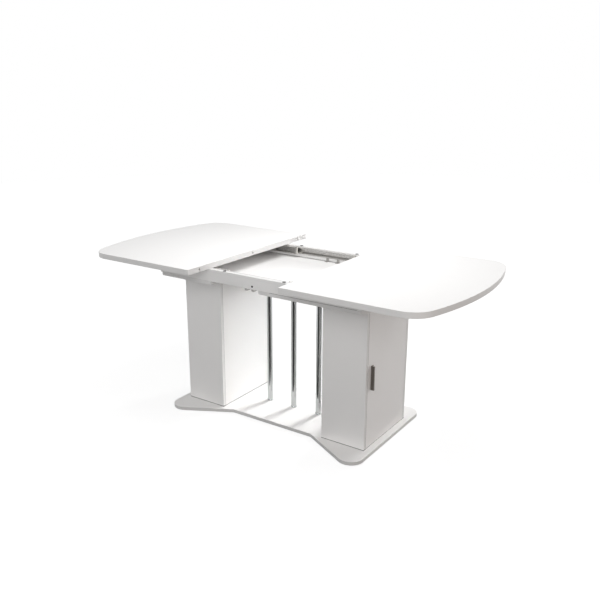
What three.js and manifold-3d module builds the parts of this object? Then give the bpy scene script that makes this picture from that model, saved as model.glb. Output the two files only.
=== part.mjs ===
// Extendable dining table, drawn open.
// Two leaves run apart on ball-bearing slides that are fixed inside a pair of long
// aprons. The aprons stand on two top boards, which two hollow pedestals and three
// chromed tubes carry above a butterfly-shaped base board.
// Millimetres. +X runs along the table, +Y to its back and +Z up, and the origin is on
// the floor under the middle of the table.

import * as THREE from 'three';
import { mergeVertices } from 'three/addons/utils/BufferGeometryUtils.js';
import Module from 'manifold-3d';

const wasm = await Module();
wasm.setup();

// ---- Driving dimensions ----

// Levels
const glideHeight = 2;
const boardThickness = 16; // base, pedestals and top boards
const pedestalHeight = 648; // from the base board to the top boards
const apronHeight = 55;
const leafLift = 1; // air between the aprons and the leaves

// Leaves
const tableWidth = 900;
const leafLength = 673; // from the cut edge to the tip of the bow
const leafThickness = 24;
const leafOpening = 234; // how far each leaf is drawn out
const endBowRadius = 1290;
const leafCornerRadius = 105;
const dowelInset = 73; // an outer dowel from the long side
const dowelDiameter = 10;
const dowelLength = 30;
const dowelReach = 12; // the part of a dowel that stands out of the cut edge

// Base board
const baseHalfLength = 524;
const baseWaist = 190; // half the depth between the pedestals
const waistHalfLength = 220;
const baseFlareDegrees = 28.3;
const baseCornerRadius = 60;
const glideDiameter = 30;
const glideInsetX = 75; // from the end of the base board
const glideInsetY = 104; // from the flare's side

// Pedestals
const pedestalInnerFace = 279; // from the middle of the table
const pedestalWidth = 213; // along the table
const pedestalDepth = 384; // across the table
const shelfLevel = 330; // above the base board
const shelfSetback = 3; // behind the door
const doorGap = 2;
const pivotFromFace = 5;
const pivotFromEdge = 8;
const pivotPinDiameter = 6;
const pivotPinReach = 10;
const pivotCollarDiameter = 16;
const handleLength = 108;
const handleWidth = 18;
const handleReach = 17;
const handleLip = 5;
const handleSteel = 3;
const handleBend = 2;
const handleLevel = 322; // middle of the handle above the base board
const handleFromDoorEdge = 23;

// Tubes
const tubeDiameter = 25;
const tubeWall = 1.5;
const tubeSpacing = 140;
const tubeCollarWall = 1.7;
const tubeCollarHeight = 6;

// Top boards
const topBoardHalfLength = 540;
const topBoardDepth = 624;
const topBoardCornerRadius = 30;
const leftBoardInnerEnd = 228; // left of the middle
const rightBoardInnerEnd = 17; // right of the middle
const tongueClearance = 28; // from the front apron's inner face to the tongue that carries the tubes

// Aprons
const apronHalfLength = 532;
const apronThickness = 22;
const padDiameter = 14;
const padHeight = 0.7;
const padFromMiddle = 158;
const boltCapDiameter = 9;
const boltCapHeight = 2;
const boltCapLevel = 13; // above the apron's lower edge

// Slides: one channel along each apron, with a runner and a carrier for each leaf
const slideHeight = 35;
const slideFromApronTop = 2;
const slideSteel = 1.5;
const slideBend = 1.2;
const slideLip = 4.5; // height of the turned-in lip
const channelDepth = 12;
const channelHalfLength = 500;
const raceHeight = 5.5; // a guide's flange and the balls on it
const slideClearance = 0.5; // between a channel's mouth and the web that passes it
const weldOverlap = 0.2; // how deep joined steel pieces run into each other
const runnerLength = 420;
const runnerOverlap = 58; // gap from the table's middle to a closed runner
const carrierLength = 418;
const carrierFlange = 30; // the flange that is screwed under the leaf

// Angle brackets between the aprons and the tongue
const bracketSteel = 2;
const bracketBend = 2;
const bracketHeight = 16;
const hangerPositions = [-52, -16]; // along the front apron
const hangerWidth = 11;
const hangerFoot = 45;
const anglePositions = [2, 62]; // along the back apron
const angleWidth = 14;
const angleFoot = 20;

// Fits and finish
const looseFit = 0.3; // between a round piece and its hole
const boardArris = 0.5; // softened edge of a board
const leafArris = 0.6;

// ---- Levels and places that follow ----

// Faces that meet lie on multiples of 1/128 mm, so that they meet exactly.
const exact = (value) => Math.round(value * 128) / 128;

const baseBottom = exact(glideHeight);
const baseTop = exact(glideHeight + boardThickness);
const topBoardBottom = exact(glideHeight + boardThickness + pedestalHeight);
const topBoardTop = exact(glideHeight + boardThickness * 2 + pedestalHeight);
const apronTop = exact(topBoardTop + apronHeight);
const leafBottom = exact(apronTop + leafLift);
const leafTop = exact(leafBottom + leafThickness);
const slideMiddle = exact(apronTop - slideFromApronTop - slideHeight / 2);
const apronInnerFace = exact(topBoardDepth / 2 - apronThickness);

// ---- Materials ----

const paint = (color, roughness, metalness) => new THREE.MeshStandardMaterial({ color, roughness, metalness });
const whiteLaminate = paint(0xf4f4f2, 0.35, 0);
const chromedSteel = paint(0xd8dadc, 0.08, 1);
const zincSteel = paint(0xa8abae, 0.3, 1);
const darkMetal = paint(0x524d49, 0.4, 0.7);
const blackPlastic = paint(0x1c1c1d, 0.55, 0);
const greyFelt = paint(0x8d8a86, 0.9, 0);
const beech = paint(0xc9a877, 0.6, 0);

// ---- Geometry helpers ----

// A closed solid from a geometry, ready to be cut or joined.
function solidOf(geometry) {
  const bare = geometry.clone();
  bare.deleteAttribute('normal');
  bare.deleteAttribute('uv');
  const merged = mergeVertices(bare, 1e-4);
  return new wasm.Manifold(new wasm.Mesh({
    numProp: 3,
    vertProperties: Float32Array.from(merged.attributes.position.array),
    triVerts: Uint32Array.from(merged.index.array),
  }));
}

function geometryOf(solid) {
  const mesh = solid.getMesh();
  const geometry = new THREE.BufferGeometry();
  geometry.setAttribute('position', new THREE.BufferAttribute(mesh.vertProperties, 3));
  geometry.setIndex(new THREE.BufferAttribute(mesh.triVerts, 1));
  geometry.computeVertexNormals();
  return geometry;
}

// A flat piece cut to an outline, from z = 0 up, with its arrises softened.
function panel(outline, height, arris = boardArris, curveSegments = 8, arrisSegments = 1) {
  const geometry = new THREE.ExtrudeGeometry(outline, {
    depth: height - 2 * arris,
    curveSegments,
    bevelEnabled: true,
    bevelThickness: arris,
    bevelSize: arris,
    bevelOffset: -arris,
    bevelSegments: arrisSegments,
  });
  return geometry.translate(0, 0, arris);
}

function rectangle(xLow, xHigh, yLow, yHigh) {
  return new THREE.Shape([
    new THREE.Vector2(exact(xLow), exact(yLow)),
    new THREE.Vector2(exact(xHigh), exact(yLow)),
    new THREE.Vector2(exact(xHigh), exact(yHigh)),
    new THREE.Vector2(exact(xLow), exact(yHigh)),
  ]);
}

// An outline through corner points, where each corner [x, y, radius] may be rounded.
function roundedOutline(corners) {
  const shape = new THREE.Shape();
  corners.forEach(([x, y, radius = 0], i) => {
    const corner = new THREE.Vector2(x, y);
    const [beforeX, beforeY] = corners[(i + corners.length - 1) % corners.length];
    const [afterX, afterY] = corners[(i + 1) % corners.length];
    const inward = new THREE.Vector2(beforeX, beforeY).sub(corner).normalize();
    const outward = new THREE.Vector2(afterX, afterY).sub(corner).normalize();
    const halfAngle = Math.acos(inward.dot(outward)) / 2;
    const setback = radius / Math.tan(halfAngle);
    const start = corner.clone().addScaledVector(inward, setback);
    if (i === 0) {
      shape.moveTo(start.x, start.y);
    } else {
      shape.lineTo(start.x, start.y);
    }
    if (radius > 0) {
      const middle = inward.clone().add(outward).normalize();
      const centre = corner.clone().addScaledVector(middle, radius / Math.sin(halfAngle));
      const end = corner.clone().addScaledVector(outward, setback);
      const turn = inward.x * outward.y - inward.y * outward.x;
      shape.absarc(
        centre.x, centre.y, radius,
        Math.atan2(start.y - centre.y, start.x - centre.x),
        Math.atan2(end.y - centre.y, end.x - centre.x),
        turn > 0,
      );
    }
  });
  shape.closePath();
  return shape;
}

// The section of a steel strip of even thickness, bent round at each inner point of
// its centre line.
function stripSection(centreLine, thickness, bendRadius, bendSteps = 3) {
  const middle = [];
  centreLine.forEach(([x, y], i) => {
    const here = new THREE.Vector2(x, y);
    if (i === 0 || i === centreLine.length - 1) {
      const other = new THREE.Vector2(...centreLine[i === 0 ? 1 : i - 1]);
      const along = i === 0 ? other.sub(here) : here.clone().sub(other);
      middle.push({ point: here, along: along.normalize() });
      return;
    }
    const inward = here.clone().sub(new THREE.Vector2(...centreLine[i - 1])).normalize();
    const outward = new THREE.Vector2(...centreLine[i + 1]).sub(here).normalize();
    const turn = Math.atan2(inward.cross(outward), inward.dot(outward));
    const setback = bendRadius * Math.tan(Math.abs(turn) / 2);
    const start = here.clone().addScaledVector(inward, -setback);
    const side = Math.sign(turn);
    const centre = start.clone().add(new THREE.Vector2(-inward.y, inward.x).multiplyScalar(side * bendRadius));
    for (let step = 0; step <= bendSteps; step += 1) {
      const angle = (turn * step) / bendSteps;
      const point = start.clone().rotateAround(centre, angle);
      middle.push({ point, along: inward.clone().rotateAround(new THREE.Vector2(), angle) });
    }
  });
  const offset = (sign) => middle.map(({ point, along }) => (
    point.clone().add(new THREE.Vector2(-along.y, along.x).multiplyScalar((sign * thickness) / 2))
  ));
  return new THREE.Shape([...offset(1), ...offset(-1).reverse()]);
}

// A long piece with one section all along, laid from xLow to xHigh. The section's
// first axis becomes Y and its second Z.
const layAlongX = new THREE.Matrix4().makeBasis(
  new THREE.Vector3(0, 1, 0),
  new THREE.Vector3(0, 0, 1),
  new THREE.Vector3(1, 0, 0),
);
function bar(section, xLow, xHigh) {
  const start = exact(xLow);
  const geometry = new THREE.ExtrudeGeometry(section, { depth: exact(xHigh) - start, bevelEnabled: false, curveSegments: 6 });
  return geometry.applyMatrix4(layAlongX).translate(start, 0, 0);
}

// A round piece from a half section of [radius, height] points, on the Z axis.
function turned(halfSection, segments = 24) {
  return new THREE.LatheGeometry(halfSection.map(([r, z]) => new THREE.Vector2(r, z)), segments).rotateX(Math.PI / 2);
}

function rod(diameter, length, segments = 20) {
  const r = diameter / 2;
  return turned([[0, 0], [r, 0], [r, length], [0, length]], segments);
}

function ring(innerRadius, outerRadius, height, segments = 36) {
  return turned([
    [innerRadius, 0], [outerRadius, 0], [outerRadius, height], [innerRadius, height], [innerRadius, 0],
  ], segments);
}

function addPiece(group, name, geometry, material, x = 0, y = 0, z = 0) {
  const mesh = new THREE.Mesh(geometry, material);
  mesh.name = name;
  mesh.position.set(exact(x), exact(y), exact(z));
  group.add(mesh);
  return mesh;
}

const table = new THREE.Group();

// ---- Base board on its glides ----

// Seen from above the board is a butterfly: straight ends, a straight waist, and four
// flares that run out to rounded corners.
const baseCornerY = baseWaist
  + (baseHalfLength - waistHalfLength) * Math.tan(THREE.MathUtils.degToRad(baseFlareDegrees));
const baseOutline = roundedOutline([
  [baseHalfLength, -baseCornerY, baseCornerRadius],
  [baseHalfLength, baseCornerY, baseCornerRadius],
  [waistHalfLength, baseWaist],
  [-waistHalfLength, baseWaist],
  [-baseHalfLength, baseCornerY, baseCornerRadius],
  [-baseHalfLength, -baseCornerY, baseCornerRadius],
  [-waistHalfLength, -baseWaist],
  [waistHalfLength, -baseWaist],
]);
addPiece(table, 'base_board', panel(baseOutline, baseTop - baseBottom, boardArris, 14), whiteLaminate, 0, 0, baseBottom);

for (const [sideName, side] of [['left', -1], ['right', 1]]) {
  for (const [faceName, face] of [['front', -1], ['back', 1]]) {
    addPiece(
      table, `glide_${faceName}_${sideName}`, rod(glideDiameter, baseBottom, 16), greyFelt,
      side * (baseHalfLength - glideInsetX), face * (baseCornerY - glideInsetY), 0,
    );
  }
}

// ---- Pedestals ----

// Each pedestal is a cabinet: a front and a back panel the full width, a side panel set
// in between them on the inner side, and a door set in between them on the outer side.
function pedestal(name, side) {
  const group = new THREE.Group();
  group.position.set(side * exact(pedestalInnerFace + pedestalWidth / 2), 0, 0);
  table.add(group);

  const halfWidth = pedestalWidth / 2;
  const halfDepth = pedestalDepth / 2;
  const betweenPanels = halfDepth - boardThickness;
  const height = topBoardBottom - baseTop;
  const across = (inner, outer) => (side > 0 ? [inner, outer] : [-outer, -inner]);

  const wide = rectangle(-halfWidth, halfWidth, 0, boardThickness);
  addPiece(group, `${name}_front_panel`, panel(wide, height), whiteLaminate, 0, -halfDepth, baseTop);
  addPiece(group, `${name}_back_panel`, panel(wide, height), whiteLaminate, 0, betweenPanels, baseTop);

  const innerSide = rectangle(...across(-halfWidth, -halfWidth + boardThickness), -betweenPanels, betweenPanels);
  addPiece(group, `${name}_inner_panel`, panel(innerSide, height), whiteLaminate, 0, 0, baseTop);

  const shelf = rectangle(
    ...across(-halfWidth + boardThickness, halfWidth - boardThickness - shelfSetback),
    -betweenPanels, betweenPanels,
  );
  addPiece(
    group, `${name}_shelf`, panel(shelf, exact(boardThickness)), whiteLaminate,
    0, 0, baseTop + shelfLevel - boardThickness / 2,
  );

  // The door turns on two pins close to its outer face at the back edge.
  const doorEdge = betweenPanels - doorGap;
  const doorHeight = exact(height - 2 * doorGap);
  const pivotX = exact(side * (halfWidth - pivotFromFace));
  const pivotY = exact(doorEdge - pivotFromEdge);
  const boreDepth = pivotPinReach + 1;
  const door = rectangle(...across(halfWidth - boardThickness, halfWidth), -doorEdge, doorEdge);
  const bore = rod(pivotPinDiameter + 2 * looseFit, boreDepth + 1, 16);
  const drilled = solidOf(panel(door, doorHeight))
    .subtract(solidOf(bore).translate([pivotX, pivotY, -1]))
    .subtract(solidOf(bore).translate([pivotX, pivotY, doorHeight - boreDepth]));
  addPiece(group, `${name}_door`, geometryOf(drilled), whiteLaminate, 0, 0, baseTop + doorGap);

  const pinRadius = pivotPinDiameter / 2;
  const collarRadius = pivotCollarDiameter / 2;
  const collarHeight = doorGap - looseFit;
  const pin = (up) => turned(up > 0 ? [
    [0, 0], [collarRadius, 0], [collarRadius, collarHeight], [pinRadius, collarHeight],
    [pinRadius, doorGap + pivotPinReach], [0, doorGap + pivotPinReach],
  ] : [
    [0, -doorGap - pivotPinReach], [pinRadius, -doorGap - pivotPinReach], [pinRadius, -collarHeight],
    [collarRadius, -collarHeight], [collarRadius, 0], [0, 0],
  ], 16);
  addPiece(group, `${name}_lower_pivot`, pin(1), zincSteel, pivotX, pivotY, baseTop);
  addPiece(group, `${name}_upper_pivot`, pin(-1), zincSteel, pivotX, pivotY, topBoardBottom);

  // The handle is a bent steel profile. Its foot lies flat on the door, a fin stands up
  // from the foot's front edge, and a lip is turned back over the fingers.
  const finMiddle = handleSteel / 2;
  const lipMiddle = handleReach - handleSteel / 2;
  const profile = stripSection([
    [side * finMiddle, handleWidth],
    [side * finMiddle, finMiddle],
    [side * lipMiddle, finMiddle],
    [side * lipMiddle, handleLip],
  ], handleSteel, handleBend, 4);
  addPiece(
    group, `${name}_handle`, panel(profile, handleLength), darkMetal,
    side * halfWidth, -doorEdge + handleFromDoorEdge, baseTop + handleLevel - handleLength / 2,
  );
}
pedestal('left', -1);
pedestal('right', 1);

// ---- Chromed tubes ----

// Three tubes stand on the base board and meet the tongue of the right top board. A
// thin collar hides each end.
const tubeRadius = tubeDiameter / 2;
const tubeNames = ['left', 'middle', 'right'];
tubeNames.forEach((name, i) => {
  const x = (i - 1) * tubeSpacing;
  addPiece(
    table, `tube_${name}`, ring(tubeRadius - tubeWall, tubeRadius, topBoardBottom - baseTop), chromedSteel,
    x, 0, baseTop,
  );
  const collar = ring(tubeRadius + looseFit, tubeRadius + looseFit + tubeCollarWall, exact(tubeCollarHeight));
  addPiece(table, `tube_${name}_lower_collar`, collar, chromedSteel, x, 0, baseTop);
  addPiece(table, `tube_${name}_upper_collar`, collar.clone(), chromedSteel, x, 0, topBoardBottom - tubeCollarHeight);
});

// ---- Top boards ----

// The left board ends near its pedestal. The right board has rounded corners and a
// tongue that reaches across to the left board and carries the tubes. The tongue runs
// along the back apron and stops short of the front one.
const topBoardHalfDepth = exact(topBoardDepth / 2);
const boardEnd = exact(topBoardHalfLength);
const tongueEnd = -exact(leftBoardInnerEnd);
const tongueSide = exact(apronInnerFace - tongueClearance);
const shoulder = exact(rightBoardInnerEnd);
const topBoardHeight = topBoardTop - topBoardBottom;
const leftBoardOutline = roundedOutline([
  [tongueEnd, -topBoardHalfDepth],
  [tongueEnd, topBoardHalfDepth],
  [-boardEnd, topBoardHalfDepth, topBoardCornerRadius],
  [-boardEnd, -topBoardHalfDepth, topBoardCornerRadius],
]);
const rightBoardOutline = roundedOutline([
  [boardEnd, -topBoardHalfDepth, topBoardCornerRadius],
  [boardEnd, topBoardHalfDepth, topBoardCornerRadius],
  [tongueEnd, topBoardHalfDepth],
  [tongueEnd, -tongueSide],
  [shoulder, -tongueSide],
  [shoulder, -topBoardHalfDepth, topBoardCornerRadius],
]);
addPiece(table, 'left_top_board', panel(leftBoardOutline, topBoardHeight), whiteLaminate, 0, 0, topBoardBottom);
addPiece(table, 'right_top_board', panel(rightBoardOutline, topBoardHeight), whiteLaminate, 0, 0, topBoardBottom);

// ---- Aprons with their pads, cap and brackets ----

const apronOutline = rectangle(-apronHalfLength, apronHalfLength, 0, apronThickness);
const apronOuterFace = exact(topBoardDepth / 2);
const padFromInside = apronThickness / 2;
for (const [faceName, face] of [['front', -1], ['back', 1]]) {
  const outerY = face < 0 ? -apronOuterFace : apronInnerFace;
  addPiece(table, `${faceName}_apron`, panel(apronOutline, apronTop - topBoardTop), whiteLaminate, 0, outerY, topBoardTop);
  for (const [sideName, side] of [['left', -1], ['right', 1]]) {
    addPiece(
      table, `${faceName}_${sideName}_pad`, rod(padDiameter, padHeight, 16), blackPlastic,
      side * padFromMiddle, face * (apronInnerFace + padFromInside), apronTop,
    );
  }
}

// A domed cap covers the bolt head in the middle of the front apron.
const capRadius = boltCapDiameter / 2;
const boltCap = turned([
  [0, 0], [capRadius, 0], [capRadius, boltCapHeight * 0.4], [capRadius * 0.7, boltCapHeight * 0.85], [0, boltCapHeight],
], 16).rotateX(Math.PI / 2);
addPiece(table, 'front_bolt_cap', boltCap, blackPlastic, 0, -apronOuterFace, topBoardTop + boltCapLevel);

// Two hangers hold the tongue up to the front apron: each runs down the inner face of
// the apron, past the tongue's edge and along its underside. Two small angles stand on
// the tongue against the back apron.
const steelMiddle = bracketSteel / 2;
const bracketTop = topBoardTop + bracketHeight;
for (const [index, x] of hangerPositions.entries()) {
  const wall = -apronInnerFace;
  const section = stripSection([
    [wall + steelMiddle, bracketTop],
    [wall + steelMiddle, topBoardBottom - steelMiddle],
    [wall + hangerFoot + steelMiddle, topBoardBottom - steelMiddle],
  ], bracketSteel, bracketBend);
  addPiece(table, `apron_hanger_${index + 1}`, bar(section, -hangerWidth / 2, hangerWidth / 2), zincSteel, x);
}
for (const [index, x] of anglePositions.entries()) {
  const wall = apronInnerFace;
  const section = stripSection([
    [wall - steelMiddle, bracketTop],
    [wall - steelMiddle, topBoardTop + steelMiddle],
    [wall - angleFoot - steelMiddle, topBoardTop + steelMiddle],
  ], bracketSteel, bracketBend);
  addPiece(table, `apron_angle_${index + 1}`, bar(section, -angleWidth / 2, angleWidth / 2), zincSteel, x);
}

// ---- Slides ----

// Sections are drawn as (distance from the apron, height above the slide's middle), and
// facing = 1 turns them to the back apron, -1 to the front one.
const steelHalf = slideSteel / 2;
const half = slideHeight / 2;
const flangeLine = half - steelHalf;
const lipEnd = half - slideLip;
const raceFace = half - slideSteel; // the flange face on which the balls run
const guideHalf = raceFace - raceHeight + slideSteel;
const guideLine = guideHalf - steelHalf;
const guideStart = slideSteel * 2; // clear of the channel's web
const guideEnd = channelDepth + slideClearance + steelHalf;

const turnTo = (facing, points) => points.map(([depth, height]) => [
  facing * (apronInnerFace - depth),
  slideMiddle + height,
]);

// A channel open towards the middle of the table, with its edges turned in.
const channelLine = (start) => [
  [start + channelDepth - steelHalf, lipEnd],
  [start + channelDepth - steelHalf, flangeLine],
  [start + steelHalf, flangeLine],
  [start + steelHalf, -flangeLine],
  [start + channelDepth - steelHalf, -flangeLine],
  [start + channelDepth - steelHalf, -lipEnd],
];
// A guide that runs inside such a channel: its web closes the channel's mouth.
const guideLineOf = (start) => [
  [start + guideStart, guideLine],
  [start + guideEnd, guideLine],
  [start + guideEnd, -guideLine],
  [start + guideStart, -guideLine],
];
// The ball cages lie on the guide's flanges and fill the races.
const cageOf = (start, up) => {
  const low = guideHalf - weldOverlap;
  const high = raceFace - looseFit;
  const [bottom, top] = up > 0 ? [low, high] : [-high, -low];
  return [
    [start + guideStart + 0.5, bottom],
    [start + channelDepth - slideSteel - 1.5, bottom],
    [start + channelDepth - slideSteel - 1.5, top],
    [start + guideStart + 0.5, top],
  ];
};
const outlineOf = (points) => new THREE.Shape(points.map(([x, y]) => new THREE.Vector2(x, y)));

function steelBar(facing, line, xLow, xHigh) {
  return bar(stripSection(turnTo(facing, line), slideSteel, slideBend), xLow, xHigh);
}

function cageBars(facing, start, xLow, xHigh) {
  return [1, -1].map((up) => solidOf(bar(outlineOf(turnTo(facing, cageOf(start, up))), xLow, xHigh)));
}

const joined = (solids) => geometryOf(solids.reduce((whole, solid) => whole.add(solid)));

const runnerStart = guideEnd + steelHalf - weldOverlap; // where the runner's own channel starts
const faces = [['front', -1], ['back', 1]];
for (const [faceName, facing] of faces) {
  addPiece(
    table, `${faceName}_slide_channel`,
    steelBar(facing, channelLine(0), -channelHalfLength, channelHalfLength), zincSteel,
  );
}

// ---- Leaves, each with its runners and carriers ----

function leaf(name, side) {
  const group = new THREE.Group();
  group.position.set(side * exact(leafOpening), 0, 0);
  table.add(group);

  // The end is one long bow between two rounded corners. Both arcs meet in a common
  // tangent, so the corner's centre lies on the line from the bow's centre.
  const halfWidth = tableWidth / 2;
  const cornerY = halfWidth - leafCornerRadius;
  const bowCentre = leafLength - endBowRadius;
  const cornerX = bowCentre + Math.sqrt((endBowRadius - leafCornerRadius) ** 2 - cornerY ** 2);
  const bowAngle = Math.atan2(cornerY, cornerX - bowCentre);
  const outline = new THREE.Shape();
  outline.moveTo(0, -halfWidth);
  outline.lineTo(cornerX, -halfWidth);
  outline.absarc(cornerX, -cornerY, leafCornerRadius, -Math.PI / 2, -bowAngle);
  outline.absarc(bowCentre, 0, endBowRadius, -bowAngle, bowAngle);
  outline.absarc(cornerX, cornerY, leafCornerRadius, bowAngle, Math.PI / 2);
  outline.lineTo(0, halfWidth);
  outline.closePath();
  let board = solidOf(panel(outline, leafTop - leafBottom, leafArris, 18, 2));
  if (side < 0) {
    board = board.mirror([1, 0, 0]);
  }

  // Blind holes in the cut edge: the right leaf holds the dowels, the left one takes
  // their free ends when the table is closed.
  const seatDepth = side > 0 ? dowelLength - dowelReach : dowelReach;
  const hole = solidOf(rod(dowelDiameter + 2 * looseFit, seatDepth + looseFit + 1, 16)).rotate([0, side * 90, 0]);
  const middleZ = (leafTop - leafBottom) / 2;
  const dowelSpacing = halfWidth - dowelInset;
  for (const step of [-1, 0, 1]) {
    board = board.subtract(hole.translate([-side, step * dowelSpacing, middleZ]));
  }
  addPiece(group, `${name}_leaf`, geometryOf(board), whiteLaminate, 0, 0, leafBottom);

  if (side > 0) {
    for (const [index, step] of [-1, 0, 1].entries()) {
      const dowel = rod(dowelDiameter, dowelLength, 16).rotateY(Math.PI / 2);
      addPiece(group, `dowel_${index + 1}`, dowel, beech, -dowelReach, step * dowelSpacing, leafBottom + middleZ);
    }
  }

  // A carrier runs inside its runner, and its web rises past the runner to a flange
  // under the leaf. The runner trails the leaf by half of what it is drawn out.
  const reachOf = (length) => {
    const near = runnerOverlap;
    return side > 0 ? [near, near + length] : [-near - length, -near];
  };
  for (const [faceName, facing] of faces) {
    const web = runnerStart + guideEnd;
    const flangeTop = leafBottom - slideMiddle;
    const carrierLine = [
      [runnerStart + guideStart, -guideLine],
      [web, -guideLine],
      [web, flangeTop - steelHalf],
      [web + carrierFlange, flangeTop - steelHalf],
    ];
    const upperGuide = [
      [runnerStart + guideStart, guideLine],
      [web, guideLine],
    ];
    const [carrierLow, carrierHigh] = reachOf(carrierLength);
    const carrier = joined([
      solidOf(steelBar(facing, carrierLine, carrierLow, carrierHigh)),
      solidOf(steelBar(facing, upperGuide, carrierLow, carrierHigh)),
      ...cageBars(facing, runnerStart, carrierLow, carrierHigh),
    ]);
    addPiece(group, `${name}_${faceName}_carrier`, carrier, zincSteel);

    const runnerGroup = new THREE.Group();
    runnerGroup.position.set(side * exact(leafOpening / 2), 0, 0);
    table.add(runnerGroup);
    const [runnerLow, runnerHigh] = reachOf(runnerLength);
    const runner = joined([
      solidOf(steelBar(facing, guideLineOf(0), runnerLow, runnerHigh)),
      solidOf(steelBar(facing, channelLine(runnerStart), runnerLow, runnerHigh)),
      ...cageBars(facing, 0, runnerLow, runnerHigh),
    ]);
    addPiece(runnerGroup, `${name}_${faceName}_runner`, runner, zincSteel);
  }
}
leaf('left', -1);
leaf('right', 1);

export default table;
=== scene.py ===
"""An extendable dining table, drawn open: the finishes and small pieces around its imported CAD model.

Metres. +X runs along the table, +Y to its back and +Z up; the origin is on the floor under its middle.
"""
import math

import bmesh
import bpy
from mathutils import Matrix, Vector


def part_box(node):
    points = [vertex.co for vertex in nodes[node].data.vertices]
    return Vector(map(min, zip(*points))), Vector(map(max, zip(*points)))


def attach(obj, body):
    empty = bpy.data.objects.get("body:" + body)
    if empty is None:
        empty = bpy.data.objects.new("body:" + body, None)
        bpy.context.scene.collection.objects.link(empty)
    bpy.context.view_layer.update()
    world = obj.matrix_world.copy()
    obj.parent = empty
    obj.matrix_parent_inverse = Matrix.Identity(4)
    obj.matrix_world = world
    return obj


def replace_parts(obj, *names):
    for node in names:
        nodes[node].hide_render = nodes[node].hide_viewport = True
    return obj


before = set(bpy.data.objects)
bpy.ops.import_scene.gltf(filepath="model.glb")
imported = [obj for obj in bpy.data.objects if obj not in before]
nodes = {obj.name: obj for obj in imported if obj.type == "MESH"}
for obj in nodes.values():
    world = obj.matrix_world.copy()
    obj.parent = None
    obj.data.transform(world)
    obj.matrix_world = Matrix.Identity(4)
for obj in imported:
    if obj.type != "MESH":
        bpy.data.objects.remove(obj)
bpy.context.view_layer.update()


# ---- Base board ----
# The foot of the table is one butterfly-shaped board of 16 mm chipboard. It is faced with satin
# white melamine that was pressed against a fine-grained plate, and a white ABS band is glued
# round its edge.

def linear(colour):
    """The linear RGBA of an sRGB hex colour."""
    parts = [int(colour[i:i + 2], 16) / 255 for i in (1, 3, 5)]
    return [c / 12.92 if c <= 0.04045 else ((c + 0.055) / 1.055) ** 2.4 for c in parts] + [1]


def add_node(tree, kind, settings=None, links=None):
    """Adds a node, sets its properties and inputs, and links its inputs from other nodes' outputs."""
    node = tree.nodes.new(kind)
    for key, value in (settings or {}).items():
        if isinstance(key, str) and hasattr(node, key):
            setattr(node, key, value)
        else:
            node.inputs[key].default_value = value
    for key, source in (links or {}).items():
        tree.links.new(source, node.inputs[key])
    return node


def new_material(name):
    """An empty node material, with its node tree and its texture coordinates."""
    material = bpy.data.materials.new(name)
    material.use_nodes = True
    tree = material.node_tree
    tree.nodes.clear()
    return material, tree, add_node(tree, "ShaderNodeTexCoord")


def finish_material(tree, settings, links):
    """Closes a material with its one shader."""
    shader = add_node(tree, "ShaderNodeBsdfPrincipled", settings, links)
    add_node(tree, "ShaderNodeOutputMaterial", links={"Surface": shader.outputs["BSDF"]})


MELAMINE_FACE = "#F4F3F2"
MELAMINE_EDGE = "#E4E3E2"
MELAMINE_ARRIS = "#CFCFCB"
PLATE_GRAIN = 0.0016  # the real grain is near 0.3 mm, drawn coarser so that it shows
HANDLING_MARKS = 0.09  # size of the patches where handling has changed the gloss


def melamine(name, across):
    """Pressed white melamine: an even satin face, a slightly greyer edge band and a scraped arris.

    across is the axis square to the board's two faces. The edge band covers its other sides.
    """
    material, tree, place = new_material(name)
    facing = add_node(tree, "ShaderNodeVectorMath", {"operation": "DOT_PRODUCT", 1: across},
                      {0: place.outputs["Normal"]})
    square = add_node(tree, "ShaderNodeMath", {"operation": "ABSOLUTE"}, {0: facing.outputs["Value"]})
    on_face = add_node(tree, "ShaderNodeMapRange", {"From Min": 0.9, "From Max": 0.98},
                       {"Value": square.outputs[0]})
    off_edge = add_node(tree, "ShaderNodeMapRange", {"From Min": 0.05, "From Max": 0.3},
                        {"Value": square.outputs[0]})
    band = add_node(tree, "ShaderNodeMix",
                    {"data_type": "RGBA", 6: linear(MELAMINE_EDGE), 7: linear(MELAMINE_ARRIS)},
                    {0: off_edge.outputs[0]})
    colour = add_node(tree, "ShaderNodeMix", {"data_type": "RGBA", 7: linear(MELAMINE_FACE)},
                      {0: on_face.outputs[0], 6: band.outputs[2]})
    marks = add_node(tree, "ShaderNodeTexNoise",
                     {"Scale": 1 / HANDLING_MARKS, "Detail": 4.0, "Roughness": 0.6},
                     {"Vector": place.outputs["Object"]})
    gloss = add_node(tree, "ShaderNodeMapRange",
                     {"From Min": 0.35, "From Max": 0.7, "To Min": 0.33, "To Max": 0.42},
                     {"Value": marks.outputs["Fac"]})
    grain = add_node(tree, "ShaderNodeTexNoise", {"Scale": 1 / PLATE_GRAIN, "Detail": 2.0},
                     {"Vector": place.outputs["Object"]})
    relief = add_node(tree, "ShaderNodeBump", {"Strength": 0.12, "Distance": 0.00004},
                      {"Height": grain.outputs["Fac"]})
    finish_material(tree, {"IOR": 1.5},
                    {"Base Color": colour.outputs[2], "Roughness": gloss.outputs[0],
                     "Normal": relief.outputs[0]})
    return material


flat_board = melamine("white_melamine_flat_board", (0, 0, 1))
nodes["base_board"].material_slots[0].material = flat_board


# ---- Glides ----
# Four discs of pressed grey felt, 30 mm across and 2 mm thick, are stuck under the base board, so
# that it slides on the floor without a mark.

FELT = "#8D8A86"
FELT_DARK = "#6F6C69"
FELT_FIBRE = 0.0007  # coarser than the real fibre, so that it shows
FELT_ARRIS = 0.0006

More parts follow.
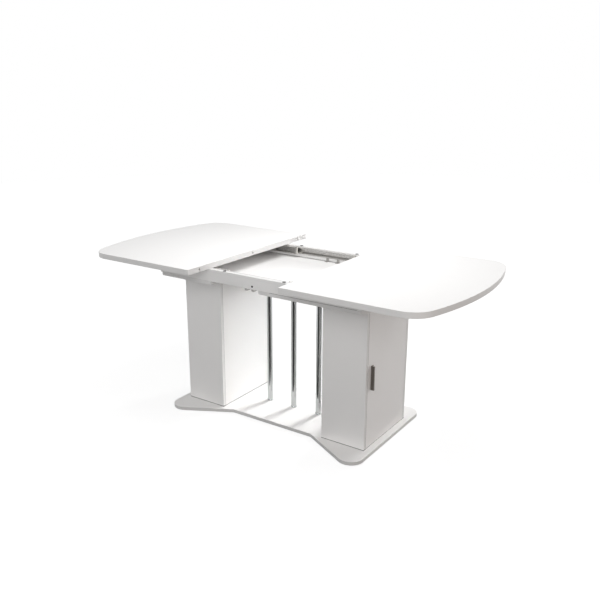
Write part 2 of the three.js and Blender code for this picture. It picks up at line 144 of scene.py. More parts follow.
# Pressed felt: matt and mottled, with a faint nap at grazing angles.
felt, tree, place = new_material("pressed_grey_felt")
fibre = add_node(tree, "ShaderNodeTexNoise", {"Scale": 1 / FELT_FIBRE, "Detail": 6.0, "Distortion": 1.5},
                 {"Vector": place.outputs["Object"]})
colour = add_node(tree, "ShaderNodeMix", {"data_type": "RGBA", 6: linear(FELT_DARK), 7: linear(FELT)},
                  {0: fibre.outputs["Fac"]})
nap = add_node(tree, "ShaderNodeBump", {"Strength": 0.6, "Distance": 0.0003},
               {"Height": fibre.outputs["Fac"]})
finish_material(tree, {"Roughness": 0.95, "Sheen Weight": 0.3, "Sheen Roughness": 0.5},
                {"Base Color": colour.outputs[2], "Normal": nap.outputs[0]})


def object_of(mesh, name, material):
    """An object in the scene from a bmesh, which is freed, in one material."""
    data = bpy.data.meshes.new(name)
    mesh.to_mesh(data)
    mesh.free()
    data.materials.append(material)
    made = bpy.data.objects.new(name, data)
    bpy.context.scene.collection.objects.link(made)
    return made


def finish_piece(mesh, name, material, body, sharp=35):
    """Makes a bmesh a piece that rides on a body, with edges over an angle left crisp."""
    bmesh.ops.remove_doubles(mesh, verts=mesh.verts, dist=1e-6)
    bmesh.ops.recalc_face_normals(mesh, faces=mesh.faces)
    for surface in mesh.faces:
        surface.smooth = True
    for edge in mesh.edges:
        edge.smooth = not edge.is_manifold or edge.calc_face_angle(0) < math.radians(sharp)
    piece = object_of(mesh, name, material)
    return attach(piece, body)


def spun(outline, steps, closed=True):
    """A bmesh turned about the Z axis from an outline of (radius, height) points."""
    mesh = bmesh.new()
    points = [mesh.verts.new((radius, 0, height)) for radius, height in outline]
    lines = [mesh.edges.new(pair) for pair in zip(points, points[1:])]
    if closed:
        lines.append(mesh.edges.new((points[-1], points[0])))
    bmesh.ops.spin(mesh, geom=points + lines, cent=(0, 0, 0), axis=(0, 0, 1), dvec=(0, 0, 0),
                   angle=math.tau, steps=steps, use_merge=True)
    return mesh


for name in ("glide_front_left", "glide_front_right", "glide_back_left", "glide_back_right"):
    low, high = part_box(name)
    radius, height = (high.x - low.x) / 2, high.z - low.z
    disc = spun([(0, 0), (radius - FELT_ARRIS, 0), (radius, FELT_ARRIS), (radius, height), (0, height)], 40,
                closed=False)
    bmesh.ops.translate(disc, verts=disc.verts, vec=((low.x + high.x) / 2, (low.y + high.y) / 2, low.z))
    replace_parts(finish_piece(disc, name + "_disc", felt, "frame"), name)


# ---- Pedestals ----
# Each pedestal is a cabinet of 16 mm melamine board, dowelled and glued: two wide panels at the
# front and back, a narrower side between them and one fixed shelf.

board_across_y = melamine("white_melamine_wide_panel", (0, 1, 0))
board_across_x = melamine("white_melamine_side_panel", (1, 0, 0))
for side in ("left", "right"):
    nodes[f"{side}_front_panel"].material_slots[0].material = board_across_y
    nodes[f"{side}_back_panel"].material_slots[0].material = board_across_y
    nodes[f"{side}_inner_panel"].material_slots[0].material = board_across_x
    nodes[f"{side}_shelf"].material_slots[0].material = flat_board

# A thin dark grey strip round the foot of each pedestal is painted shade: it stands for the shade
# in the joint where the pedestal meets the base board. Finer lines of the same grey show where the
# side panel meets the wide ones.
SHADE_AND_JOINT_GREY = "#6A6A69"
SHADE_AND_JOINT_GREY_PALE = "#80807E"
FOOT_SHADE_HEIGHT = 0.0026
FOOT_SHADE_PROUD = 0.0004
JOINT_LINE = 0.0009
JOINT_PROUD = 0.0001

# Dark grey for the painted shade at the pedestals' feet, in the doors' gaps and along the aprons,
# and for the pedestals' dark joint lines: an even dull grey with faint paler clouds.
grey_for_shade_and_joints, tree, place = new_material("dark_grey_shade_and_joints")
cloud = add_node(tree, "ShaderNodeTexNoise", {"Scale": 40.0, "Detail": 3.0},
                 {"Vector": place.outputs["Object"]})
colour = add_node(tree, "ShaderNodeMix", {"data_type": "RGBA", 6: linear(SHADE_AND_JOINT_GREY), 7: linear(SHADE_AND_JOINT_GREY_PALE)},
                  {0: cloud.outputs["Fac"]})
finish_material(tree, {"Roughness": 0.7, "Specular IOR Level": 0.3}, {"Base Color": colour.outputs[2]})


def add_bar(mesh, corner, opposite, arris=0.0):
    """Adds a bar between two opposite corners to a bmesh, its edges eased by an arris."""
    size = [abs(b - a) for a, b in zip(corner, opposite)]
    middle = [(a + b) / 2 for a, b in zip(corner, opposite)]
    made = bmesh.ops.create_cube(mesh, size=1, matrix=Matrix.LocRotScale(middle, None, size))
    if arris:
        edges = {edge for vert in made["verts"] for edge in vert.link_edges}
        bmesh.ops.bevel(mesh, geom=list(edges), offset=arris, segments=2, affect="EDGES", profile=0.5,
                        material=-1)


for side, out in (("left", -1), ("right", 1)):
    front_low, front_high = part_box(f"{side}_front_panel")
    back_low, back_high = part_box(f"{side}_back_panel")
    inner, outer = (front_high.x, front_low.x) if out < 0 else (front_low.x, front_high.x)
    inner_lip, outer_lip = inner - out * FOOT_SHADE_PROUD, outer + out * FOOT_SHADE_PROUD
    foot, lip_top = front_low.z, front_low.z + FOOT_SHADE_HEIGHT
    # The strip round the foot is painted shade for the joint with the base board.
    lip = bmesh.new()
    add_bar(lip, (inner_lip, front_low.y - FOOT_SHADE_PROUD, foot), (outer_lip, front_low.y, lip_top))
    add_bar(lip, (inner_lip, back_high.y, foot), (outer_lip, back_high.y + FOOT_SHADE_PROUD, lip_top))
    add_bar(lip, (inner_lip, front_low.y, foot), (inner, back_high.y, lip_top))
    add_bar(lip, (outer, front_low.y, foot), (outer_lip, front_high.y, lip_top))
    add_bar(lip, (outer, back_low.y, foot), (outer_lip, back_high.y, lip_top))
    finish_piece(lip, f"{side}_pedestal_foot_shade_strip", grey_for_shade_and_joints, "frame")
    joints = bmesh.new()
    for y in (front_high.y, back_low.y):
        add_bar(joints, (inner, y - JOINT_LINE / 2, lip_top),
                (inner - out * JOINT_PROUD, y + JOINT_LINE / 2, front_high.z))
    finish_piece(joints, f"{side}_pedestal_joint_lines", grey_for_shade_and_joints, "frame")


# ---- Doors ----
# A door of the same board closes the outer side of each pedestal. It turns on two zinc-plated
# pins, in holes near its back edge. Thin dark grey strips at its foot and its free edge are painted
# shade: they stand for the shade in the gaps there.

ZINC = "#C2C1BF"
ZINC_DULL = "#A7A4A1"
ZINC_SPANGLE = 0.004
ROLLING_LINE = 0.0004  # the lines that the rolls leave along a steel strip


def zinc_steel(name, along, gloss_low=0.24, gloss_high=0.42):
    """Zinc-plated cold-rolled steel: pale grey, softly spangled, with fine lines along one axis."""
    material, tree, place = new_material(name)
    spangle = add_node(tree, "ShaderNodeTexVoronoi", {"Scale": 1 / ZINC_SPANGLE, "Randomness": 1.0},
                       {"Vector": place.outputs["Object"]})
    cloud = add_node(tree, "ShaderNodeSeparateColor", links={0: spangle.outputs["Color"]})
    colour = add_node(tree, "ShaderNodeMix", {"data_type": "RGBA", 6: linear(ZINC_DULL), 7: linear(ZINC)},
                      {0: cloud.outputs[0]})
    stretched = [0.03 if axis else 1.0 for axis in along]
    lie = add_node(tree, "ShaderNodeMapping", {"Scale": stretched}, {"Vector": place.outputs["Object"]})
    lines = add_node(tree, "ShaderNodeTexNoise", {"Scale": 1 / ROLLING_LINE, "Detail": 3.0},
                     {"Vector": lie.outputs[0]})
    gloss = add_node(tree, "ShaderNodeMapRange", {"To Min": gloss_low, "To Max": gloss_high},
                     {"Value": lines.outputs["Fac"]})
    relief = add_node(tree, "ShaderNodeBump", {"Strength": 0.2, "Distance": 0.00003},
                      {"Height": lines.outputs["Fac"]})
    finish_material(tree, {"Metallic": 1.0},
                    {"Base Color": colour.outputs[2], "Roughness": gloss.outputs[0],
                     "Normal": relief.outputs[0]})
    return material


zinc_pin = zinc_steel("zinc_plated_pin", (0, 0, 1))
for side in ("left", "right"):
    nodes[f"{side}_door"].material_slots[0].material = board_across_x
    nodes[f"{side}_lower_pivot"].material_slots[0].material = zinc_pin
    nodes[f"{side}_upper_pivot"].material_slots[0].material = zinc_pin

DOOR_SHADE_CLEARANCE = 0.0003
DOOR_SHADE_SET_BACK = 0.0003  # behind the door's outer face
DOOR_SHADE_FROM_INSIDE = 0.003  # short of the door's inner face
DOOR_SHADE_FROM_FREE_EDGE = 0.001
DOOR_SHADE_FROM_HINGE_EDGE = 0.02

for side, out in (("left", -1), ("right", 1)):
    low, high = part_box(f"{side}_door")
    panel_low, panel_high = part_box(f"{side}_front_panel")
    outer, inner = (low.x, high.x) if out < 0 else (high.x, low.x)
    shade_outer, shade_inner = outer - out * DOOR_SHADE_SET_BACK, inner + out * DOOR_SHADE_FROM_INSIDE
    # The strip under the door is painted shade for the gap at its foot.
    door_foot_shade = bmesh.new()
    add_bar(door_foot_shade, (shade_outer, low.y + DOOR_SHADE_FROM_FREE_EDGE, panel_low.z + DOOR_SHADE_CLEARANCE),
            (shade_inner, high.y - DOOR_SHADE_FROM_HINGE_EDGE, low.z))
    finish_piece(door_foot_shade, f"{side}_door_foot_shade_strip", grey_for_shade_and_joints, f"{side}_cupboard_door")
    # The strip at the door's free edge is painted shade for the gap there.
    door_edge_shade = bmesh.new()
    add_bar(door_edge_shade, (shade_outer, panel_high.y, low.z), (shade_inner, low.y - DOOR_SHADE_CLEARANCE, high.z))
    finish_piece(door_edge_shade, f"{side}_door_edge_shade_strip", grey_for_shade_and_joints, "frame")


# ---- Handles ----
# A pull handle is one strip of steel folded along its length: a foot flat on the door, a fin that
# stands out and a lip turned back under the fingers. It is brushed and plated dark grey.

GUNMETAL = "#8A8580"
GUNMETAL_DARK = "#6A6560"
BRUSH_LINE = 0.00035

# Brushed plated steel: dark, with fine upright lines that draw its highlights out.
gunmetal, tree, place = new_material("brushed_gunmetal_plated_steel")
lie = add_node(tree, "ShaderNodeMapping", {"Scale": (1, 1, 0.02)}, {"Vector": place.outputs["Object"]})
lines = add_node(tree, "ShaderNodeTexNoise", {"Scale": 1 / BRUSH_LINE, "Detail": 4.0},
                 {"Vector": lie.outputs[0]})
colour = add_node(tree, "ShaderNodeMix", {"data_type": "RGBA", 6: linear(GUNMETAL_DARK), 7: linear(GUNMETAL)},
                  {0: lines.outputs["Fac"]})
gloss = add_node(tree, "ShaderNodeMapRange", {"To Min": 0.3, "To Max": 0.48}, {"Value": lines.outputs["Fac"]})
relief = add_node(tree, "ShaderNodeBump", {"Strength": 0.3, "Distance": 0.00004},
                  {"Height": lines.outputs["Fac"]})
finish_material(tree, {"Metallic": 0.9},
                {"Base Color": colour.outputs[2], "Roughness": gloss.outputs[0],
                 "Normal": relief.outputs[0]})

for side in ("left", "right"):
    profile = bmesh.new()
    profile.from_mesh(nodes[f"{side}_handle"].data)
    bmesh.ops.remove_doubles(profile, verts=profile.verts, dist=1e-6)
    bmesh.ops.dissolve_limit(profile, angle_limit=math.radians(0.5), verts=profile.verts, edges=profile.edges)
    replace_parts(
        finish_piece(profile, f"{side}_handle_profile", gunmetal, f"{side}_cupboard_door",
                     sharp=32),
        f"{side}_handle",
    )


# ---- Chromed tubes ----
# Three steel tubes, 25 mm across, polished and bright chromed, stand in a row between the
# pedestals. A thin pressed collar, chromed too, covers each end.

CHROME = "#C2C4C4"
CHROME_EDGE = "#8A8C8C"
POLISH_LINE = 0.0006
TUBE_WALL = 0.0015
COLLAR_WALL = 0.0017

# Polished chrome: a mirror that darkens at grazing angles, with a breath of haze.
chrome, tree, place = new_material("polished_chrome_plate")
lie = add_node(tree, "ShaderNodeMapping", {"Scale": (1, 1, 0.01)}, {"Vector": place.outputs["Object"]})
lines = add_node(tree, "ShaderNodeTexNoise", {"Scale": 1 / POLISH_LINE, "Detail": 2.0},
                 {"Vector": lie.outputs[0]})
haze = add_node(tree, "ShaderNodeTexNoise", {"Scale": 25.0, "Detail": 3.0},
                {"Vector": place.outputs["Object"]})
gloss = add_node(tree, "ShaderNodeMapRange", {"To Min": 0.03, "To Max": 0.08}, {"Value": haze.outputs["Fac"]})
relief = add_node(tree, "ShaderNodeBump", {"Strength": 0.04, "Distance": 0.00002},
                  {"Height": lines.outputs["Fac"]})
finish_material(tree, {"Base Color": linear(CHROME), "Specular Tint": linear(CHROME_EDGE), "Metallic": 1.0},
                {"Roughness": gloss.outputs[0], "Normal": relief.outputs[0]})

for name in ("left", "middle", "right"):
    low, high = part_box(f"tube_{name}")
    radius, centre = (high.x - low.x) / 2, (low + high) / 2
    bore = radius - TUBE_WALL
    tube = spun([(bore, low.z), (radius, low.z), (radius, high.z), (bore, high.z)], 96)
    bmesh.ops.translate(tube, verts=tube.verts, vec=(centre.x, centre.y, 0))
    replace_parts(finish_piece(tube, f"chromed_tube_{name}", chrome, "frame"), f"tube_{name}")
    for end in ("lower", "upper"):
        low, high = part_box(f"tube_{name}_{end}_collar")
        radius, height = (high.x - low.x) / 2, high.z - low.z
        bore = radius - COLLAR_WALL
        collar = spun([(bore, 0), (radius, 0), (radius, height * 0.55), (radius - 0.0004, height * 0.85),
                       (radius - 0.0011, height), (bore, height)], 64)
        if end == "upper":
            bmesh.ops.scale(collar, verts=collar.verts, vec=(1, 1, -1))
        seat = low.z if end == "lower" else high.z
        bmesh.ops.translate(collar, verts=collar.verts, vec=(centre.x, centre.y, seat))
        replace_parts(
            finish_piece(collar, f"chromed_collar_{name}_{end}", chrome, "frame"),
            f"tube_{name}_{end}_collar",
        )


# ---- Top boards ----
# Two boards of the same melamine lie on the pedestals. The right one has a tongue that reaches
# across to the left one over the tubes.

for side in ("left", "right"):
    nodes[f"{side}_top_board"].material_slots[0].material = flat_board


# ---- Aprons ----
# Two rails of 22 mm melamine board stand along the top boards. Low black rubber pads sit on their
# top edges just under the leaves, and a domed black cap hides the bolt in the front one.

RUBBER = "#1C1C1D"
RUBBER_WORN = "#2A2A2B"
RUBBER_GRAIN = 0.0008
PAD_BULGE = 0.001
PAD_HEIGHT = 0.00095

# Moulded rubber: nearly black and quite without gloss, with a fine grain from its mould.
rubber, tree, place = new_material("moulded_black_rubber")
grain = add_node(tree, "ShaderNodeTexNoise", {"Scale": 1 / RUBBER_GRAIN, "Detail": 3.0},
                 {"Vector": place.outputs["Object"]})
colour = add_node(tree, "ShaderNodeMix", {"data_type": "RGBA", 6: linear(RUBBER), 7: linear(RUBBER_WORN)},
                  {0: grain.outputs["Fac"]})
relief = add_node(tree, "ShaderNodeBump", {"Strength": 0.3, "Distance": 0.0001},
                  {"Height": grain.outputs["Fac"]})
finish_material(tree, {"Roughness": 0.8, "Specular IOR Level": 0.0},
                {"Base Color": colour.outputs[2], "Normal": relief.outputs[0]})

for face in ("front", "back"):
    nodes[f"{face}_apron"].material_slots[0].material = board_across_y
    for side in ("left", "right"):
        low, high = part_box(f"{face}_{side}_pad")
        radius = (high.x - low.x) / 2 + PAD_BULGE
        pad = spun([(0, 0), (radius, 0), (radius, PAD_HEIGHT * 0.5), (radius - 0.0003, PAD_HEIGHT * 0.85),
                    (radius - 0.0009, PAD_HEIGHT), (0, PAD_HEIGHT)], 32, closed=False)
        bmesh.ops.translate(pad, verts=pad.verts, vec=((low.x + high.x) / 2, (low.y + high.y) / 2, low.z))
        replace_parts(finish_piece(pad, f"rubber_pad_{face}_{side}", rubber, "frame"),
                    f"{face}_{side}_pad")

low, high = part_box("front_bolt_cap")
radius, height = (high.x - low.x) / 2, high.y - low.y
cap = spun([(0, 0), (radius, 0), (radius, height * 0.3), (radius * 0.94, height * 0.55),
            (radius * 0.8, height * 0.78), (radius * 0.55, height * 0.93), (0, height)], 32, closed=False)
bmesh.ops.rotate(cap, verts=cap.verts, cent=(0, 0, 0), matrix=Matrix.Rotation(math.radians(90), 3, "X"))
bmesh.ops.translate(cap, verts=cap.verts, vec=((low.x + high.x) / 2, high.y, (low.z + high.z) / 2))
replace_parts(finish_piece(cap, "domed_bolt_cap", rubber, "frame", sharp=50), "front_bolt_cap")

# Thin dark grey lines along the foot of each apron are painted shade: on the inner faces they stand
# for the shade in the joint with the top boards, and on the front apron's outer face for the shadow
# that the right leaf casts there.
SHADE_LINE_HEIGHT = 0.0014
OUTER_BEAD_PROUD = 0.0003
INNER_BEAD_PROUD = 0.0006
INNER_BEAD_INSET = 0.002  # from the apron's ends
OUTER_BEAD_RUN = (0.09, 0.508)  # the stretch of the front apron's outer face that shows it

low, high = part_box("front_apron")
back_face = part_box("back_apron")[0].y
# These lines are painted shade and a painted shadow.
shade_lines = bmesh.new()
add_bar(shade_lines, (OUTER_BEAD_RUN[0], low.y - OUTER_BEAD_PROUD, low.z - SHADE_LINE_HEIGHT / 2),
        (OUTER_BEAD_RUN[1], low.y, low.z + SHADE_LINE_HEIGHT / 2))
for y, proud in ((high.y, INNER_BEAD_PROUD), (back_face, -INNER_BEAD_PROUD)):
    add_bar(shade_lines, (-high.x + INNER_BEAD_INSET, y, low.z),
            (high.x - INNER_BEAD_INSET, y + proud, low.z + SHADE_LINE_HEIGHT))
finish_piece(shade_lines, "apron_painted_shade_lines", grey_for_shade_and_joints, "frame")


# ---- Brackets ----
# Bent strips of zinc-plated steel tie the tongue of the right top board to the aprons: two hangers
# at the front one and two small angles at the back one.

zinc_strip_y = zinc_steel("zinc_plated_bracket_strip", (0, 1, 0), gloss_low=0.5, gloss_high=0.62)
for name in ("apron_hanger_1", "apron_hanger_2", "apron_angle_1", "apron_angle_2"):
    nodes[name].material_slots[0].material = zinc_strip_y


# ---- Slides ----
# Ball-bearing slides are roll-formed from zinc-plated strip: a channel along each apron, and for
# each leaf a runner in it and a carrier in the runner.

zinc_strip_x = zinc_steel("zinc_plated_rolled_strip", (1, 0, 0))
for face in ("front", "back"):
    for side in ("left", "right"):
        nodes[f"{side}_{face}_runner"].material_slots[0].material = zinc_strip_x
        nodes[f"{side}_{face}_carrier"].material_slots[0].material = zinc_strip_x

CHANNEL_WALL = 0.0013
CHANNEL_LIP = 0.0045
RACE_RADIUS = 0.0034
WEB_RIB = 0.0016  # how far the stiffening rib of a channel's web stands in
RIB_FOOT = 0.44  # where the rib starts and where it is full, as shares of the channel's half height
RIB_TOP = 0.32
SCREW_RADIUS = 0.0038
SCREW_PITCH = 0.1568
SCREW_COUNT = 6
FIRST_SCREW = 0.06  # from the channel's left end


def half_section(depth, half):
    """Half a channel's outline, from its lip over the rounded ball race to the rib.

    Its points are (depth, height), from the web's outer face and the channel's middle.
    """
    outline = [(depth, half - CHANNEL_LIP)]
    for middle, turns in ((depth - RACE_RADIUS, (90, 60, 30, 0)), (RACE_RADIUS, (0, -30, -60, -90))):
        for turn in map(math.radians, turns):
            outline.append((middle + RACE_RADIUS * math.sin(turn),
                            half - RACE_RADIUS + RACE_RADIUS * math.cos(turn)))
    return outline + [(0, half * RIB_FOOT), (WEB_RIB, half * RIB_TOP)]


for face, out in (("front", 1), ("back", -1)):
    low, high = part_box(f"{face}_slide_channel")
    at_apron = low.y if out > 0 else high.y
    middle, half = (low.z + high.z) / 2, (high.z - low.z) / 2
    upper = half_section(high.y - low.y, half)
    section = upper + [(depth, -height) for depth, height in reversed(upper)]
    channel = bmesh.new()
    points = [channel.verts.new((low.x, at_apron + out * depth, middle + height))
              for depth, height in section]
    edges = [channel.edges.new(pair) for pair in zip(points, points[1:])]
    swept = bmesh.ops.extrude_edge_only(channel, edges=edges)
    bmesh.ops.translate(channel, verts=[v for v in swept["geom"] if isinstance(v, bmesh.types.BMVert)],
                        vec=(high.x - low.x, 0, 0))
    bmesh.ops.recalc_face_normals(channel, faces=channel.faces)
    # The wall grows away from the normals, so the web, the largest part, has to look at the apron.
    if out * sum(surface.normal.y * surface.calc_area() for surface in channel.faces) > 0:
        bmesh.ops.reverse_faces(channel, faces=channel.faces)
    bmesh.ops.solidify(channel, geom=channel.faces[:], thickness=CHANNEL_WALL)
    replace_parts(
        finish_piece(channel, f"{face}_rolled_channel", zinc_strip_x, "frame", sharp=50),
        f"{face}_slide_channel",
    )
    screws = bmesh.new()
    for k in range(SCREW_COUNT):
        head = spun([(0, 0.0004), (0.0013, 0.0009), (0.0017, 0.0022), (0.0026, 0.0021), (0.0035, 0.0013),
                     (SCREW_RADIUS, 0.0002), (SCREW_RADIUS, 0), (0, 0)], 16, closed=False)
        bmesh.ops.rotate(head, verts=head.verts, cent=(0, 0, 0),
                         matrix=Matrix.Rotation(math.radians(-90 * out), 3, "X"))
        bmesh.ops.translate(head, verts=head.verts, vec=(low.x + FIRST_SCREW + SCREW_PITCH * k,
                                                         at_apron + out * (WEB_RIB + CHANNEL_WALL), middle))
        part = bpy.data.meshes.new("screw_head")
        head.to_mesh(part)
        head.free()
        screws.from_mesh(part)
        bpy.data.meshes.remove(part)
    finish_piece(screws, f"{face}_channel_screws", zinc_pin, "frame", sharp=50)

# At its inner end each runner has a folded steel holder with a white nylon stop on it and a black
# rubber buffer beside it. The steel balls of its two races stand in nylon cages that reach past it.
NYLON = "#ECE9E2"
NYLON_SHADE = "#DEDBD3"
STOP_REACH = 0.014  # how far the stop stands past the end of its runner
STOP_PLATE = 0.003
STOP_GAP = 0.0003  # from the runner's end to the holder and the buffer
STOP_ARRIS = 0.0003
HOLDER_DEPTH = 0.006
PLATE_PROUD = 0.0002  # how far the nylon plate stands past the holder's sides
BUFFER_DEPTH = 0.007
HOLDER_INSET = 0.006  # from the runner's top and bottom
PLATE_INSET = 0.0008
BALL_RADIUS = 0.0018
BALL_PITCH = 0.0052
BALLS_IN_VIEW = 6
BALL_ROW = 0.0139  # from the middle of the slide
FIRST_BALL = 0.005  # past the runner's end
CAGE_WALL = 0.0007
CAGE_OVERLAP = 0.002
CAGE_REACH = 0.034
CAGE_INSET = 0.0022  # from the channel's depth on both sides
CAGE_FROM_BALLS = 0.0021
CAGE_ARRIS = 0.0002

# Moulded nylon: warm white and slightly translucent.
nylon, tree, place = new_material("moulded_white_nylon")
cloud = add_node(tree, "ShaderNodeTexNoise", {"Scale": 60.0, "Detail": 3.0},
                 {"Vector": place.outputs["Object"]})
colour = add_node(tree, "ShaderNodeMix", {"data_type": "RGBA", 6: linear(NYLON_SHADE), 7: linear(NYLON)},
                  {0: cloud.outputs["Fac"]})
finish_material(tree,
                {"Roughness": 0.45, "IOR": 1.53, "Subsurface Weight": 0.1, "Subsurface Radius": (0.002,) * 3},
                {"Base Color": colour.outputs[2]})
ball_steel = zinc_steel("polished_bearing_steel", (0, 0, 0), gloss_low=0.1, gloss_high=0.16)

plate_side = HOLDER_DEPTH + PLATE_PROUD
stop_pieces = (
    # name, start and end past the runner, start and end from its mouth, inset, material, slot
    ("stop_holder", (STOP_GAP, STOP_REACH - STOP_PLATE), (0, HOLDER_DEPTH),
     HOLDER_INSET, zinc_strip_x, "zinc_steel"),
    ("nylon_stop", (STOP_REACH - STOP_PLATE, STOP_REACH), (-PLATE_PROUD, plate_side),
     PLATE_INSET, nylon, "laminate"),
    ("rubber_buffer", (STOP_GAP, STOP_REACH), (plate_side, plate_side + BUFFER_DEPTH),
     HOLDER_INSET, rubber, "black_plastic"),
)
for face, out in (("front", 1), ("back", -1)):
    channel_low, channel_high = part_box(f"{face}_slide_channel")
    channel_middle = (channel_low + channel_high) / 2
    for side, way in (("left", 1), ("right", -1)):
        low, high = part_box(f"{side}_{face}_runner")
        end = high.x if way > 0 else low.x
        mouth = high.y if out > 0 else low.y
        body = f"{side}_runners"
        for label, reach, depth, inset, material, slot_name in stop_pieces:
            block = bmesh.new()
            add_bar(block, (end + way * reach[0], mouth - out * depth[0], low.z + inset),
                    (end + way * reach[1], mouth - out * depth[1], high.z - inset), arris=STOP_ARRIS)
            finish_piece(block, f"{side}_{face}_{label}", material, body)
        cage, balls = bmesh.new(), bmesh.new()
        for rise in (1, -1):
            race = channel_middle.z + rise * BALL_ROW
            under = race - rise * CAGE_FROM_BALLS
            add_bar(cage, (end - way * CAGE_OVERLAP, channel_low.y + CAGE_INSET, under),
                    (end + way * CAGE_REACH, channel_high.y - CAGE_INSET, under - rise * CAGE_WALL),
                    arris=CAGE_ARRIS)
            for k in range(BALLS_IN_VIEW):
                spot = Matrix.Translation((end + way * (FIRST_BALL + k * BALL_PITCH), channel_middle.y, race))
                bmesh.ops.create_icosphere(balls, subdivisions=2, radius=BALL_RADIUS, matrix=spot)
        finish_piece(cage, f"{side}_{face}_ball_cage", nylon, body)
        finish_piece(balls, f"{side}_{face}_bearing_balls", ball_steel, body, sharp=60)


# ---- Leaves ----
# Each half of the table top is one 24 mm board with a bowed end, faced on both sides and banded
# in satin white.

for side in ("left", "right"):
    nodes[f"{side}_leaf"].material_slots[0].material = flat_board


# ---- Dowels ----
# Three fluted beech dowels stand out of the right leaf's cut edge and enter the left leaf when
# the table is closed.

BEECH = "#CDAE80"
BEECH_DARK = "#B08D5E"
BEECH_PORE = 0.0012
FLUTE_DEPTH = 0.00035
DOWEL_CHAMFER = 0.0012  # along the dowel
CHAMFER_SLOPE = 0.7  # how much of that the chamfer takes off the radius

# Turned beech: a warm, unfinished wood with its pores drawn out along the dowel.
beech, tree, place = new_material("turned_beech")
lie = add_node(tree, "ShaderNodeMapping", {"Scale": (0.06, 1, 1)}, {"Vector": place.outputs["Object"]})
grain = add_node(tree, "ShaderNodeTexNoise", {"Scale": 1 / BEECH_PORE, "Detail": 5.0, "Distortion": 0.4},
                 {"Vector": lie.outputs[0]})
colour = add_node(tree, "ShaderNodeMix", {"data_type": "RGBA", 6: linear(BEECH_DARK), 7: linear(BEECH)},
                  {0: grain.outputs["Fac"]})
relief = add_node(tree, "ShaderNodeBump", {"Strength": 0.3, "Distance": 0.0001},
                  {"Height": grain.outputs["Fac"]})
finish_material(tree, {"Roughness": 0.62}, {"Base Color": colour.outputs[2], "Normal": relief.outputs[0]})

for name in ("dowel_1", "dowel_2", "dowel_3"):
    low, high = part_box(name)
    radius, centre = (high.z - low.z) / 2, (low + high) / 2
    narrow = (radius - DOWEL_CHAMFER * CHAMFER_SLOPE) / radius
    dowel = bmesh.new()
    ring = bmesh.ops.create_circle(dowel, segments=48, radius=radius, cap_ends=True)["verts"]
    for vert in ring[::2]:
        vert.co *= (radius - FLUTE_DEPTH) / radius
    bmesh.ops.scale(dowel, verts=dowel.verts, vec=(narrow, narrow, 1))
    shank = high.x - low.x - 2 * DOWEL_CHAMFER
    for rise, widen in ((DOWEL_CHAMFER, 1 / narrow), (shank, 1.0), (DOWEL_CHAMFER, narrow)):
        top = max(dowel.faces, key=lambda surface: surface.calc_center_median().z)
        grown = bmesh.ops.extrude_face_region(dowel, geom=[top])
        moved = [v for v in grown["geom"] if isinstance(v, bmesh.types.BMVert)]
        bmesh.ops.translate(dowel, verts=moved, vec=(0, 0, rise))
        bmesh.ops.scale(dowel, verts=moved, vec=(widen, widen, 1))
    # The faces that the extrusions leave inside the dowel are taken out again.
    inside = [surface for surface in dowel.faces
              if len(surface.verts) > 4 and 1e-6 < surface.calc_center_median().z < high.x - low.x - 1e-6]
    bmesh.ops.delete(dowel, geom=inside, context="FACES_ONLY")
    bmesh.ops.rotate(dowel, verts=dowel.verts, cent=(0, 0, 0),
                     matrix=Matrix.Rotation(math.radians(90), 3, "Y"))
    bmesh.ops.translate(dowel, verts=dowel.verts, vec=(low.x, centre.y, centre.z))
    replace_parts(finish_piece(dowel, f"fluted_{name}", beech, "right_top", sharp=40), name)


# ---- Studio ----
# The table stands on a plain white paper floor in an even white room, under soft lamps. A wedge of
# velvet lies on the paper in front of it. Only reflections show it, so that the chrome has the
# dark line that tells the eye it is a mirror.

PAPER = "#898989"
GLOW_NEAR = 0.84  # what the paper adds for the eye, near the table and far from it
GLOW_FAR = 1.0
FLOOR_RADIUS = 9.0
VELVET = "#484848"
FLAG_RADIUS = 2.8
FLAG_CUTS = ((-118, -1), (-25, 1))  # degrees from +X, and the side cut off: 1 for left, -1 for right
FLAG_LIFT = 0.001
ROOM_LIGHT = 0.2


def seen_rays(tree):
    """A node that is 1 for rays from the eye and for glossy and transmitted ones, and else 0."""
    ray = add_node(tree, "ShaderNodeLightPath")
    seen = add_node(tree, "ShaderNodeMath", {"operation": "MAXIMUM"},
                    {0: ray.outputs["Is Camera Ray"], 1: ray.outputs["Is Glossy Ray"]})
    return add_node(tree, "ShaderNodeMath", {"operation": "MAXIMUM"},
                    {0: seen.outputs[0], 1: ray.outputs["Is Transmission Ray"]})


# The paper is lit as a mid grey and glows to the eye, so that it is white and keeps the shadow.
paper, tree, place = new_material("white_studio_paper")
away = add_node(tree, "ShaderNodeVectorMath", {"operation": "LENGTH"}, {0: place.outputs["Object"]})
glow = add_node(tree, "ShaderNodeMapRange",
                {"From Min": 0.6, "From Max": 2.4, "To Min": GLOW_NEAR, "To Max": GLOW_FAR},
                {"Value": away.outputs["Value"]})
glow = add_node(tree, "ShaderNodeMath", {"operation": "MULTIPLY"},
                {0: seen_rays(tree).outputs[0], 1: glow.outputs[0]})
lit = add_node(tree, "ShaderNodeBsdfDiffuse", {"Color": linear(PAPER)})
bright = add_node(tree, "ShaderNodeEmission", {"Color": (1, 1, 1, 1)}, {"Strength": glow.outputs[0]})
both = add_node(tree, "ShaderNodeAddShader", links={0: lit.outputs[0], 1: bright.outputs[0]})
add_node(tree, "ShaderNodeOutputMaterial", links={"Surface": both.outputs[0]})

mesh = bmesh.new()
bmesh.ops.create_circle(mesh, cap_ends=True, segments=64, radius=FLOOR_RADIUS)
object_of(mesh, "studio_floor", paper)

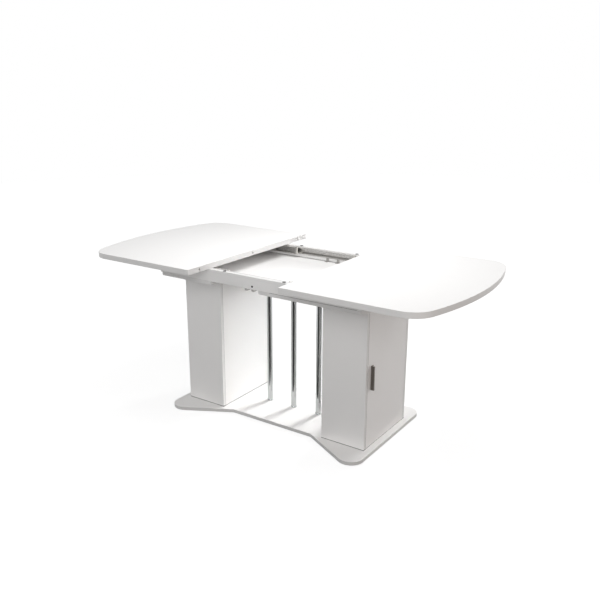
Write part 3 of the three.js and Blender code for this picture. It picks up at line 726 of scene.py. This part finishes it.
velvet, tree = new_material("black_velvet_flag")[:2]
cloth = add_node(tree, "ShaderNodeBsdfDiffuse", {"Color": linear(VELVET)})
add_node(tree, "ShaderNodeOutputMaterial", links={"Surface": cloth.outputs[0]})

mesh = bmesh.new()
bmesh.ops.create_circle(mesh, cap_ends=True, segments=96, radius=FLAG_RADIUS)
for angle, cut_off in FLAG_CUTS:
    turn = math.radians(angle)
    bmesh.ops.bisect_plane(mesh, geom=mesh.verts[:] + mesh.edges[:] + mesh.faces[:], plane_co=(0, 0, 0),
                           plane_no=Vector((-math.sin(turn), math.cos(turn), 0)) * cut_off, clear_outer=True)
bmesh.ops.translate(mesh, verts=mesh.verts, vec=(0, 0, FLAG_LIFT))
flag = object_of(mesh, "velvet_flag", velvet)
flag.visible_camera = flag.visible_diffuse = flag.visible_transmission = flag.visible_shadow = False

# The room is dim for the light it gives, and white to the eye and in reflections.
world = bpy.data.worlds.new("white_room")
bpy.context.scene.world = world
world.use_nodes = True
tree = world.node_tree
tree.nodes.clear()
strength = add_node(tree, "ShaderNodeMapRange", {"To Min": ROOM_LIGHT, "To Max": 1.0},
                    {"Value": seen_rays(tree).outputs[0]})
room = add_node(tree, "ShaderNodeBackground", {"Color": (1, 1, 1, 1)}, {"Strength": strength.outputs[0]})
add_node(tree, "ShaderNodeOutputWorld", links={"Surface": room.outputs[0]})

for name, stand, target, size, watts, colour, spread in (
    ("front_softbox", (1.83, -3.17, 2.03), (0, 0, 0.4), 2.0, 52.0, "#FFFFFF", 180),
    ("left_softbox", (-3.36, -1.94, 1.52), (0, 0, 0.55), 2.0, 26.0, "#FFFFFF", 180),
    ("right_softbox", (3.83, -1.03, 1.0), (0, 0, 0.45), 1.6, 10.5, "#FFDFCA", 180),
    ("overhead_softbox", (0.1, 0, 2.2), (0.1, 0, 0), 1.2, 21.0, "#FFFFFF", 180),
    ("back_softbox", (1.5, 2.1, 1.2), (0, 0, 0.3), 1.3, 19.0, "#FFFFFF", 180),
    ("gridded_back_lamp", (0.3, 1.85, 0.89), (-0.03, 0, 0.14), 0.6, 3.8, "#FFFFFF", 38),
):
    lamp = bpy.data.lights.new(name, "AREA")
    lamp.shape = "SQUARE"
    lamp.size = size
    lamp.spread = math.radians(spread)
    lamp.energy = watts
    lamp.color = linear(colour)[:3]
    holder = bpy.data.objects.new(name, lamp)
    holder.location = stand
    holder.rotation_euler = (Vector(target) - Vector(stand)).to_track_quat("-Z", "Y").to_euler()
    holder.visible_camera = False
    bpy.context.scene.collection.objects.link(holder)

# The camera looks down on the table from its front right.
CAMERA_STAND = (1.8012, -2.6273, 1.5350)
CAMERA_DIP = 17.225  # degrees below level
CAMERA_TURN = 34.494  # degrees to the left of +Y

camera = bpy.data.objects.new("camera", bpy.data.cameras.new("camera"))
camera.location = CAMERA_STAND
camera.rotation_euler = (math.radians(90 - CAMERA_DIP), 0, math.radians(CAMERA_TURN))
camera.data.lens = 43.27
camera.data.sensor_width = 36
camera.data.shift_x = 0.0115
camera.data.shift_y = 0.0034
camera.data.clip_end = 60
bpy.context.scene.collection.objects.link(camera)
bpy.context.scene.camera = camera
bpy.context.scene.view_settings.view_transform = "Standard"
